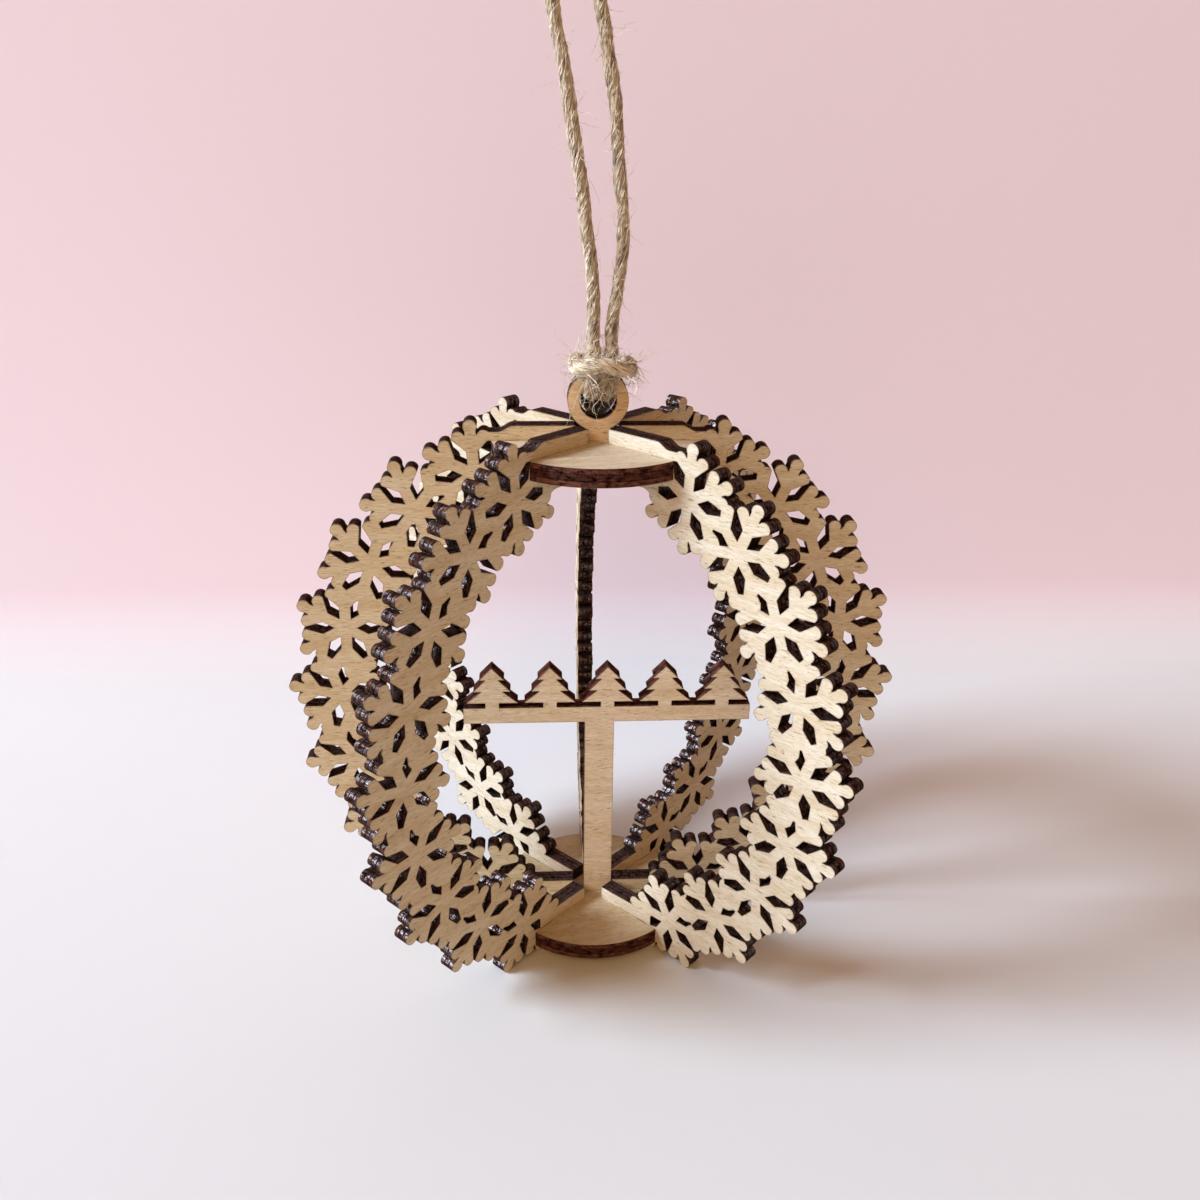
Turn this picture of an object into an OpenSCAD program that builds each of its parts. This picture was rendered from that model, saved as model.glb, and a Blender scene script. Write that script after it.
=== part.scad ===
// Hanging wooden bauble: seven snowflake fins of laser-cut plywood on two round discs,
// with an eyelet, a plaque on a stem and a loop of jute twine.
// Front is -Y and +Z is up. The origin is where a hook carries the twine loop.

/* [Plywood] */
// Thickness of every laser-cut piece
ply = 3; // [2:0.1:4]
// Clearance beside the ply in a slot
slot_gap = 0.05; // [0.02:0.01:0.2]

/* [Row of snowflakes] */
// Snowflakes in the row that makes one fin
flake_count = 9; // [7:2:9]
// Axis of the bauble to the middle snowflake's centre
row_r = 44; // [40:0.5:60]
// Inward sweep of the row, as the radius of its bow across the axis
row_bow = 36.4; // [32:0.1:38]
// Rise of the row, as the radius of its bow along the axis
row_rise = 42.1; // [38:0.1:50]
// Angle along the bow from one snowflake to the next
flake_step = 17.6; // [16:0.1:18]
// Turn of each snowflake against the one below it
flake_turn = 18.3; // [15:0.1:20]
// Turn of the middle snowflake
middle_turn = -17.2; // [-30:0.1:30]

/* [One snowflake] */
// Centre to the tip of an arm
flake_r = 9; // [8.4:0.1:9.4]
// Radius of the web that the arms grow out of
flake_web_r = 6.6; // [6.3:0.1:6.8]
// Radius of a rounded lobe at the end of an arm
lobe_r = 1.1; // [0.9:0.05:1.15]
// Width of the neck that carries the lobe at an arm's tip
tip_neck_w = 1.8; // [1.2:0.1:2]
// Angle of the two side lobes from their arm
lobe_spread = 18.5; // [18:0.5:20]
// Centre of the snowflake to the centre of a side lobe
side_lobe_at = 6.45; // [6.2:0.05:7]
// Centre to the inner point of the kite-shaped gap between two arms
kite_start = 1.9; // [1.6:0.1:2.4]
// Centre to the widest place of the gap
kite_wide_at = 3.8; // [3.5:0.1:4.2]
// Width of the gap there
kite_w = 2.2; // [1.6:0.1:2.4]
// Centre to where the gap closes to a slit
kite_end = 6.8; // [6:0.1:7.2]
// Width of that slit
slit_w = 0.4; // [0.2:0.05:0.5]
// Centre to the blunt end of a gap that the snowflake below closes
blunt_end = 6.3; // [5.8:0.1:6.5]
// Width of that blunt end
blunt_w = 1; // [0.6:0.1:1.2]
// Lean of the blunt ends towards the arm between them
blunt_lean = 0.15; // [0:0.05:0.3]
// Centre to where the snowflake above starts to cover one side of a gap
cover_at = 3.3; // [2.8:0.1:3.4]
// Centre to the end of the slim gap that stays open beside it
slim_end = 5.4; // [5:0.1:5.6]
// Width of that end
slim_w = 0.35; // [0.3:0.05:0.5]
// Radius of the web that joins a snowflake to the one above it
bridge_r = 4.6; // [4.3:0.1:4.8]

/* [Discs] */
// Top disc's upper face above the end snowflakes' centres
top_disc_rise = 5.6; // [4.5:0.1:6.5]
// Bottom disc's upper face below the end snowflakes' centres
bottom_disc_drop = 3.3; // [2.5:0.1:4]
// Rim of a disc inside the end snowflakes' centres
rim_inset = 2.8; // [2:0.1:4.5]
// Meeting of a disc's slots and the fins' slots inside those centres
slot_inset = 7.2; // [6:0.1:8]

/* [Arms of a fin] */
// Height of the arms that lie on the discs
arm_h = 2.4; // [1.8:0.1:3.5]
// Space between neighbouring arms at their inner ends
arm_clear = 0.1; // [0.05:0.05:1]
// Start of the top arm's dip inside the end snowflake's centre
dip_inset = 6.3; // [5:0.1:7]
// Length of that dip
dip_l = 2.4; // [1.6:0.1:3]
// Depth of that dip
dip_h = 1; // [0.6:0.1:1.5]
// Outer end of the top arm inside the end snowflake's centre
top_arm_inset = 1.2; // [0.5:0.1:2]
// Outer end of the bottom arm inside the end snowflake's centre
bottom_arm_inset = 4.2; // [3.6:0.1:5]
// Height of the strip under the top disc
under_h = 2.5; // [1.8:0.1:3.5]
// Inner end of that strip inside the end snowflake's centre
under_inset = 11.4; // [10.5:0.1:13]
// Start of the round corner below that strip inside the end snowflake's centre
corner_inset = 9; // [8.6:0.1:10]
// Radius of that corner
corner_r = 2.2; // [1.2:0.1:3]

/* [Eyelet] */
// Outer diameter of the ring
eye_d = 9.7; // [9:0.1:12]
// Diameter of its hole
eye_hole_d = 5.9; // [5:0.1:7]
// Centre of the ring above the top disc
eye_rise = 6.4; // [5.5:0.1:9]
// Width of the neck under the ring
neck_w = 4; // [3.2:0.1:5]
// Width of the tabs that seat the eyelet and the plaque in the discs
tab_w = 3; // [2:0.1:3.2]

/* [Plaque] */
// Length of the plaque
plaque_l = 50.8; // [40:0.2:56]
// Height of its bar
bar_h = 3; // [2:0.1:5]
// Underside of the bar below the middle of the bauble
bar_drop = 6.2; // [0:0.1:20]
// Sideways place of the bar from the bauble's axis
plaque_shift = 2.3; // [-4:0.1:4]
// Fir trees that stand on the bar
tree_count = 5; // [3:1:6]
// Height of a fir tree above the bar
tree_h = 7.8; // [5:0.1:12]
// Width of a fir tree
tree_w = 9; // [6:0.1:10]
// Width of a fir tree's trunk
trunk_w = 2.4; // [1.6:0.1:4]
// Height of a fir tree's trunk
trunk_h = 1; // [0.5:0.1:2]
// Width of the stem
stem_w = 5.2; // [4:0.1:6]
// Sideways place of the stem over its tab
stem_shift = 0.9; // [0:0.1:1]
// Radius of the stem's lower corners
stem_round = 0.9; // [0.3:0.1:1.1]

/* [Twine] */
// Diameter of the taut strands
twine_d = 1.7; // [1.4:0.1:1.9]
// Diameter where the twine swells in the hitch
hitch_d = 2.2; // [1.8:0.1:2.3]
// Clearance between the hitch and the eyelet
hitch_gap = 0.3; // [0.2:0.05:0.5]
// Clearance between the hitch and the strands above it
strand_gap = 0.3; // [0.1:0.05:0.5]
// Clearance between the hitch's bar and the strands that it crosses
bar_gap = 0.8; // [0.6:0.05:0.9]
// Radius of the end knot
knot_r = 2.9; // [2.4:0.1:4]
// Height of the end knot
knot_h = 6; // [4:0.1:8]
// Length of the two cut ends above the end knot
tail_l = 9; // [4:0.5:20]
// Lean of each cut end
tail_lean = 14; // [8:1:30]

/* [Hidden] */
$fn = 48;

// Eight stations round the axis, of which the front one stays open
stations = 8;
station_turn = 360 / stations;
fin_turns = [for (k = [-1:5]) k * station_turn];

// The ends of the row of snowflakes, which the discs and arms take their places from
end_angle = flake_step * (flake_count - 1) / 2;
end_r = row_r - row_bow * (1 - cos(end_angle));
end_z = row_rise * sin(end_angle);
disc_r = end_r - rim_inset;
slot_end_r = end_r - slot_inset;
top_face = end_z + top_disc_rise;
bottom_face = -end_z - bottom_disc_drop;

// Middle of the web between two snowflakes, from the centre of the lower one and turned with it
bridge_at = [-2.8, 5.7];

// The slit of a gap runs out past the side lobes of its own snowflake
slit_end = kite_end + 3 * lobe_r;

// Arms stop where the sides of two neighbouring arms would meet
arm_start = ply / 2 / tan(station_turn / 2) + arm_clear;
eye_z = top_face + eye_rise;
bar_z = -bar_drop;

// The hook's place over the eyelet: the twine leans a little to the left on its way up
hook_lean = -4.6;
hook_rise = 61.4;
hook = [hook_lean, 0, eye_z + hook_rise];

// Routes of the twine from the eyelet's centre
strand_foot = 9.3;
left_route = [
    [-0.9, -2.5, strand_foot], [-0.9, -2.5, 11.5], [-0.9, -2.4, 13.5], [-1, -2.2, 18], [-1.6, -2, 23],
    [-2.3, -1.8, 28], [-2.9, -1.6, 33], [-3.8, -1.4, 38], [-4.6, -1.2, 43], [-5.4, -1, 48],
    [-6.3, -0.6, 52], [-7, -0.3, 56], [-7.4, 0, 59], [-7.4, 0, 61.5], [-6.9, 0, 63.6], [-6.1, 0, 65.2],
    [-5.7, 0, 66.6], [-5.7, 0, 67.6]
];
right_route = [
    [1.9, -2.5, strand_foot], [1.9, -2.5, 11.5], [2.1, -2.4, 13.5], [2.8, -2.2, 18], [3.4, -2, 23],
    [3.3, -1.8, 28], [2.8, -1.6, 33], [2.4, -1.4, 38], [2, -1.2, 43], [1.2, -1, 48], [0.5, -0.6, 52],
    [-0.3, -0.3, 56], [-1.1, 0, 59], [-1.7, 0, 61.5], [-2.4, 0, 63.6], [-3.2, 0, 65.2],
    [-3.6, 0, 66.6], [-3.6, 0, 67.6]
];
knot_foot = [-4.65, 0, 67.6];

// Lines of the hitch in front of and behind the eyelet, and of its bar across the strands
hitch_wrap = ply / 2 + hitch_d / 2 + hitch_gap;
hitch_bar = hitch_wrap + hitch_d + bar_gap;

// Places from the eyelet's centre: the legs in front of it to either side and how far they spread behind it,
// the middle of the bar, and the bends where the twine comes over the ring, outwards and up
leg_x = 1.15;
leg_flare = 0.5;
bar_up = 6.4;
left_bend = [3.5, 5.8];
right_bend = [4.8, 5.4];

// One side of the hitch: down in front, through the hole, up behind and over to the front bar
function hitch_side(side, top_x, bend) = [
    [top_x, -2.5, strand_foot - strand_gap], [top_x, -2.5, 7.9], [side * leg_x, -hitch_wrap, 5],
    [side * leg_x, -hitch_wrap, 3], [side * leg_x, -hitch_wrap + 0.45, 1.7], [side * leg_x, -ply / 2, 1.25],
    [side * leg_x, 0, 1.15], [side * leg_x, ply / 2, 1.25],
    [side * (leg_x + leg_flare * 0.4), hitch_wrap - 0.4, 1.8], [side * (leg_x + leg_flare), hitch_wrap, 3],
    [side * bend[0] * 0.68, hitch_wrap + 0.1, bend[1] * 0.72], [side * bend[0] * 0.85, 2.6, bend[1] * 0.91],
    [side * bend[0] * 0.96, 1.5, bend[1]], [side * bend[0], 0, bend[1]], [side * bend[0], -1.7, bend[1] - 0.1],
    [side * bend[0] * 0.97, -3.3, bend[1] - 0.1],
    [side * bend[0] * 0.74, 0.9 - hitch_bar, bend[1] * 0.7 + bar_up * 0.3],
    [side * bend[0] * 0.4, 0.2 - hitch_bar, bend[1] * 0.35 + bar_up * 0.65]
];
function turned_round(list) = [for (i = [len(list) - 1:-1:0]) list[i]];
hitch_route = concat(
    hitch_side(-1, left_route[0][0], left_bend), [[0, -hitch_bar, bar_up]],
    turned_round(hitch_side(1, right_route[0][0], right_bend))
);

// A round tube along a route: its side direction is carried along without twisting
function unit(v) = v / norm(v);
function along(p, i) = unit(p[min(i + 1, len(p) - 1)] - p[max(i - 1, 0)]);
function square_to(v, t) = unit(v - (v * t) * t);
function carried(p, i) =
    i == 0 ? square_to([1, 0.1, 0], along(p, 0)) : square_to(carried(p, i - 1), along(p, i));
function tube_ring(p, i, r, sides) =
    let (t = along(p, i), u = carried(p, i), v = cross(t, u))
    [for (k = [0:sides - 1]) p[i] + r * (cos(360 * k / sides) * u + sin(360 * k / sides) * v)];

module tube(route, d) {
    sides = 8;
    rings = len(route);
    last = (rings - 1) * sides;
    points = [for (i = [0:rings - 1]) each tube_ring(route, i, d / 2, sides)];
    walls = [
        for (i = [0:rings - 2], k = [0:sides - 1])
            let (a = i * sides + k, b = i * sides + (k + 1) % sides)
            each [[a, a + sides, b], [b, a + sides, b + sides]]
    ];
    foot = [for (k = [1:sides - 2]) [0, k, k + 1]];
    head = [for (k = [1:sides - 2]) [last, last + k + 1, last + k]];
    polyhedron(points, concat(walls, foot, head));
}

// Moves a piece from the middle of the bauble to the hook's frame
module hung() {
    translate(-hook) children();
}

// Flat pieces are cut from a sheet and stand upright, with the sheet's middle on the axis
module upright() {
    rotate([90, 0, 0]) linear_extrude(ply, center = true) children();
}

// The gap between two arms: a kite that closes to a slit open to the outside
module kite() {
    polygon([
        [kite_start, 0], [kite_wide_at, kite_w / 2], [kite_end, slit_w / 2], [slit_end, slit_w / 2],
        [slit_end, -slit_w / 2], [kite_end, -slit_w / 2], [kite_wide_at, -kite_w / 2]
    ]);
}

// A gap towards the snowflake below, which closes the gap's outer end
module blunt_kite(lean) {
    polygon([
        [kite_start, 0], [kite_wide_at, kite_w / 2], [blunt_end, lean + blunt_w / 2],
        [blunt_end, lean - blunt_w / 2], [kite_wide_at, -kite_w / 2]
    ]);
}

// The gap towards the snowflake above, whose arm covers one side of it
module slim_kite() {
    cover_w = kite_w / 2 * (cover_at - kite_start) / (kite_wide_at - kite_start);
    polygon([
        [kite_start, 0], [cover_at, cover_w], [cover_at + cover_w, 0], [slim_end, -slim_w],
        [slim_end, -2 * slim_w], [kite_wide_at, -kite_w / 2]
    ]);
}

// The six gaps of a snowflake, of which one is along +X
module gaps(below, above) {
    for (turn = [0, 60, 180]) rotate(turn) kite();
    rotate(120) {
        if (above) slim_kite();
        else kite();
    }
    for (side = [-1, 1]) rotate(270 + 30 * side) {
        if (below) blunt_kite(-side * blunt_lean);
        else kite();
    }
}

// One arm along +X, with a rounded lobe at its tip and one at each side
module flake_arm() {
    tip_at = flake_r - lobe_r;
    translate([0, -tip_neck_w / 2]) square([tip_at, tip_neck_w]);
    translate([tip_at, 0]) circle(r = lobe_r);
    for (turn = [-lobe_spread, lobe_spread]) rotate(turn) translate([side_lobe_at, 0]) circle(r = lobe_r);
}

// A snowflake before its gaps are cut, with the web that joins it to the one above
module flake_outline(above) {
    circle(r = flake_web_r);
    for (arm = [0:5]) rotate(60 * arm + 30) flake_arm();
    if (above) translate(bridge_at) circle(r = bridge_r);
}

// Place of a snowflake in the row, with X away from the axis and Y along it
module at_flake(k) {
    bow = k * flake_step;
    translate([row_r - row_bow * (1 - cos(bow)), row_rise * sin(bow)])
        rotate(middle_turn + k * flake_turn) children();
}

module snowflake_row() {
    last = (flake_count - 1) / 2;
    difference() {
        for (k = [-last:last]) at_flake(k) flake_outline(k < last);
        for (k = [-last:last]) at_flake(k) gaps(k > -last, k < last);
    }
}

// The arm on the top disc is flat, then dips in a soft step towards the snowflake
module top_arm() {
    dip_start = end_r - dip_inset;
    arm_top = top_face + arm_h;
    step = [for (s = [0:0.125:1]) [dip_start + s * dip_l, arm_top - dip_h * (1 - cos(180 * s)) / 2]];
    polygon(concat(
        [[arm_start, top_face], [arm_start, arm_top]], step,
        [[end_r - top_arm_inset, arm_top - dip_h], [end_r - top_arm_inset, top_face]]
    ));
}

module bottom_arm() {
    translate([arm_start, bottom_face]) square([end_r - bottom_arm_inset - arm_start, arm_h]);
}

// The strip under the top disc, with a round inner corner down to the end snowflake
module strip_under_disc() {
    strip_z = top_face - ply - slot_gap - under_h;
    strip_start = end_r - under_inset;
    corner = [end_r - corner_inset, strip_z - corner_r];
    translate([strip_start, strip_z]) square([end_r - under_inset / 2 - strip_start, under_h]);
    difference() {
        translate(corner) square([1.5 * corner_r, corner_r + under_h / 2]);
        translate(corner) circle(r = corner_r);
    }
}

// A slot in a fin, open to the axis, that takes the disc whose upper face is at z
module fin_slot(z) {
    translate([0, z - ply - slot_gap]) square([slot_end_r + slot_gap, ply + slot_gap]);
}

// The row with its bottom arm and strip, cut by the slots for both discs
module slotted_row() {
    difference() {
        union() {
            snowflake_row();
            bottom_arm();
            strip_under_disc();
        }
        fin_slot(top_face);
        fin_slot(bottom_face);
    }
}

// A fin, whose top arm runs into the end snowflake across the gap between two of its arms
module fin(turn) {
    color("burlywood") hung() rotate(turn) {
        upright() slotted_row();
        upright() top_arm();
    }
}

// A disc with a slot from its rim for each fin and a slot in its middle for a tab
module disc(face) {
    color("tan") hung() translate([0, 0, face - ply]) linear_extrude(ply) difference() {
        circle(r = disc_r, $fn = 96);
        for (turn = fin_turns) rotate(turn)
            translate([slot_end_r, -ply / 2 - slot_gap]) square([disc_r, ply + 2 * slot_gap]);
        square([tab_w + 2 * slot_gap, ply + 2 * slot_gap], center = true);
    }
}

module top_disc() { disc(top_face); }
module bottom_disc() { disc(bottom_face); }
module fin_right() { fin(fin_turns[1]); }
module fin_back_right() { fin(fin_turns[2]); }
module fin_back() { fin(fin_turns[3]); }
module fin_back_left() { fin(fin_turns[4]); }
module fin_left() { fin(fin_turns[5]); }
module fin_front_left() { fin(fin_turns[6]); }
module fin_front_right() { fin(fin_turns[0]); }

// The ring stands on a neck, whose tab seats in the top disc's middle slot
module eyelet() {
    color("peru") hung() upright() difference() {
        union() {
            translate([0, eye_z]) circle(d = eye_d);
            translate([-neck_w / 2, top_face]) square([neck_w, eye_rise]);
            translate([-tab_w / 2, top_face - ply]) square([tab_w, ply + eye_rise]);
        }
        translate([0, eye_z]) circle(d = eye_hole_d);
    }
}

// One fir tree of three tiers, with its foot at the origin
module fir_tree() {
    tier_h = (tree_h - trunk_h) / 3;
    right_side = [
        [trunk_w / 2, 0], [trunk_w / 2, trunk_h], [tree_w / 2, trunk_h],
        [tree_w * 0.2, trunk_h + tier_h], [tree_w * 0.36, trunk_h + tier_h],
        [tree_w * 0.12, trunk_h + 2 * tier_h], [tree_w * 0.24, trunk_h + 2 * tier_h], [0, tree_h]
    ];
    left_side = [for (p = turned_round(right_side)) if (p[0] > 0) [-p[0], p[1]]];
    polygon(concat(right_side, left_side));
}

// A bar with a row of fir trees, on a stem whose tab seats in the bottom disc
module plaque() {
    pitch = plaque_l / tree_count;
    color("tan") hung() upright() {
        translate([plaque_shift - plaque_l / 2, bar_z]) square([plaque_l, bar_h]);
        for (i = [0:tree_count - 1])
            translate([plaque_shift + (i - (tree_count - 1) / 2) * pitch, bar_z + bar_h]) fir_tree();
        translate([stem_shift, bottom_face]) {
            for (side = [-1, 1])
                translate([side * (stem_w / 2 - stem_round), stem_round]) circle(r = stem_round);
            translate([-stem_w / 2, stem_round]) square([stem_w, bar_z + bar_h / 2 - bottom_face - stem_round]);
            translate([-stem_w / 2 + stem_round, 0]) square([stem_w - 2 * stem_round, stem_round]);
        }
        translate([-tab_w / 2, bottom_face - ply]) square([tab_w, ply + stem_round]);
    }
}

// Twine pieces follow their routes from the middle of the eyelet's ring
module on_eyelet() {
    hung() translate([0, 0, eye_z]) children();
}

module twine_hitch() {
    color("darkkhaki") on_eyelet() tube(hitch_route, hitch_d);
}

module twine_left() {
    color("darkkhaki") on_eyelet() tube(left_route, twine_d);
}

module twine_right() {
    color("darkkhaki") on_eyelet() tube(right_route, twine_d);
}

// Both ends of the twine are tied together here, with the cut ends standing out above
module end_knot() {
    bulge_r = 2 * knot_r;
    tail_start = knot_h / 4;
    color("darkkhaki") on_eyelet() translate(knot_foot) {
        translate([0, 0, knot_h / 2]) rotate_extrude() intersection() {
            translate([knot_r - bulge_r, 0]) circle(r = bulge_r);
            translate([0, -knot_h / 2]) square([knot_r, knot_h]);
        }
        for (side = [-1, 1]) translate([side * twine_d / 2, 0, knot_h - tail_start])
            rotate([0, side * tail_lean, 0]) cylinder(d = twine_d, h = tail_l + tail_start);
    }
}

top_disc();
bottom_disc();
fin_back();
fin_back_left();
fin_back_right();
fin_left();
fin_right();
fin_front_left();
fin_front_right();
eyelet();
plaque();
twine_hitch();
twine_left();
twine_right();
end_knot();
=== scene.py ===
import math

import bpy
import numpy as np
from mathutils import Euler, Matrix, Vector


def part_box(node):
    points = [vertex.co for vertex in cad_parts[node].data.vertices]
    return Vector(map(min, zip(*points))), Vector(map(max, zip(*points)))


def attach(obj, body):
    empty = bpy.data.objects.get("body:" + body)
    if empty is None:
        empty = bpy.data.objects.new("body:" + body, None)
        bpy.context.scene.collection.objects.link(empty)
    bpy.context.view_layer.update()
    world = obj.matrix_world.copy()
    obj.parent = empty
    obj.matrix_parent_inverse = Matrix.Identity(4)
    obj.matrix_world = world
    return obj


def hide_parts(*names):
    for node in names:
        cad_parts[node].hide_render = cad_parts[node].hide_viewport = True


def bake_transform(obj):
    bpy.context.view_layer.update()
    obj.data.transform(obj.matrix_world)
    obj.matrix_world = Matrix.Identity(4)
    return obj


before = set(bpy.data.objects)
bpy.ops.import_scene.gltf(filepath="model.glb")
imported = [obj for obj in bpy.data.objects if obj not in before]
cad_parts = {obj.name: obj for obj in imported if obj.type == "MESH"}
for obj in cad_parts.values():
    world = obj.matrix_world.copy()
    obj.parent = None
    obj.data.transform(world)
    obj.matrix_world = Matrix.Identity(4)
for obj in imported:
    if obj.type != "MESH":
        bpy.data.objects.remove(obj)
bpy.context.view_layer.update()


# Viewpoint of the photograph: close above the ornament and a little to its left,
# looking down into the open front of the ball.
eye_m = (-0.00563, -0.18012, -0.01745)
eye_turn_deg = (66.388, -0.704, -3.194)
sensor_mm = 36.0
focal_px = 1151.74
image_px = 1200
nearest_m = 0.005

camera = bpy.data.objects.new("camera", bpy.data.cameras.new("camera"))
camera.location = eye_m
camera.rotation_euler = Euler([math.radians(turn) for turn in eye_turn_deg])
camera.data.sensor_fit = "HORIZONTAL"
camera.data.sensor_width = sensor_mm
camera.data.lens = sensor_mm * focal_px / image_px
camera.data.clip_start = nearest_m
bpy.context.scene.collection.objects.link(camera)
bpy.context.scene.camera = camera


# Two round discs hold the ball together. Each is laser-cut from bare three-ply sheet, so its
# faces are pale and its rim is scorched, and slots from the rim take the fins.
mm = 0.001
ply_mm = 3.0
white = (1, 1, 1, 1)
grey = (0.5, 0.5, 0.5, 1)
black = (0, 0, 0, 1)
disc_grain_deg = (90, 12, 0)
disc_pale = (0.67, 0.56, 0.405, 1)
disc_tan = (0.54, 0.415, 0.255, 1)
# Painted shade: darker tones for the bottom disc, which sits in shade under the fins.
painted_shade_pale = (0.58, 0.475, 0.305, 1)
painted_shade_tan = (0.49, 0.37, 0.21, 1)
fibre_shade = (0.66, 0.57, 0.47, 1)
pore_shade = (0.5, 0.38, 0.28, 1)
halo_mm = 0.35
halo_shade = (0.2, 0.12, 0.085, 1)
face_gloss = 0.35
face_rough = 0.62
face_relief_mm = 0.03
scorch_brown = (0.2, 0.075, 0.048, 1)
scorch_black = (0.012, 0.006, 0.005, 1)
char_glint = (0.085, 0.07, 0.066, 1)
char_grazing = (0.25, 0.2, 0.19, 1)
rim_shine = 0.15
edge_rough = 0.27
edge_relief_mm = 0.16
glue_at = 0.35
glue_shine = (0.02, 0.02, 0.02, 1)
ply_tones = (
    (0.0, (0.45, 0.4, 0.42, 1)), (0.27, (0.6, 0.52, 0.52, 1)), (glue_at, (0.15, 0.12, 0.13, 1)),
    (0.43, (0.9, 0.8, 0.75, 1)), (0.86, (1, 0.95, 0.9, 1)), (0.98, (0.3, 0.25, 0.24, 1)))


def add_node(tree, kind, inputs, **settings):
    """A shader node: each input takes a value, or another node's output to be linked to it."""
    node = tree.nodes.new(kind)
    for key, value in settings.items():
        setattr(node, key, value)
    for key, value in inputs.items():
        if isinstance(value, bpy.types.NodeSocket):
            tree.links.new(value, node.inputs[key])
        else:
            node.inputs[key].default_value = value
    return node


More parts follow.
